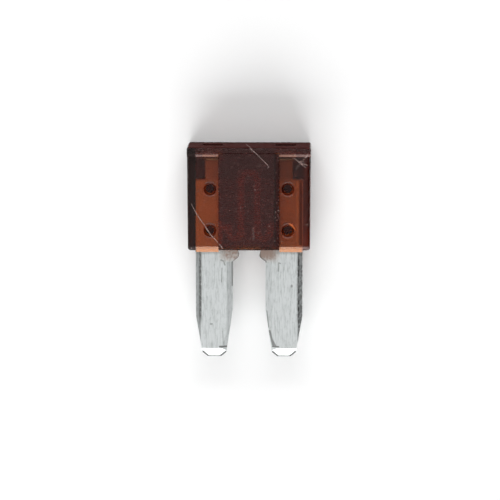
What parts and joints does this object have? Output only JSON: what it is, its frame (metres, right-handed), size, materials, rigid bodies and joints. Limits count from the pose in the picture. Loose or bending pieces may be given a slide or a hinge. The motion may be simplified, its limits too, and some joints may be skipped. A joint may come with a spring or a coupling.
{
  "type": "automotive blade fuse",
  "caption": "Small plug-in automotive blade fuse: see-through brown housing staked over a zinc stamping with tapered blades and a looped fuse link.",
  "frame": {"origin": "under the middle of the fuse's length and width, on the surface that its back face lies on", "axes": "+X across the blades, +Y from the blade tips towards the cap, +Z out of the front face"},
  "size_m": [0.009, 0.0156, 0.0038],
  "materials": {
    "brown_plastic": "see-through moulded plastic, handled, with fine scratches",
    "zinc_strip": "satin rolled zinc with fine lengthwise lines"
  },
  "bodies": {
    "root": {"housing": "brown_plastic", "blade_element": "zinc_strip"}
  },
  "joints": []
}
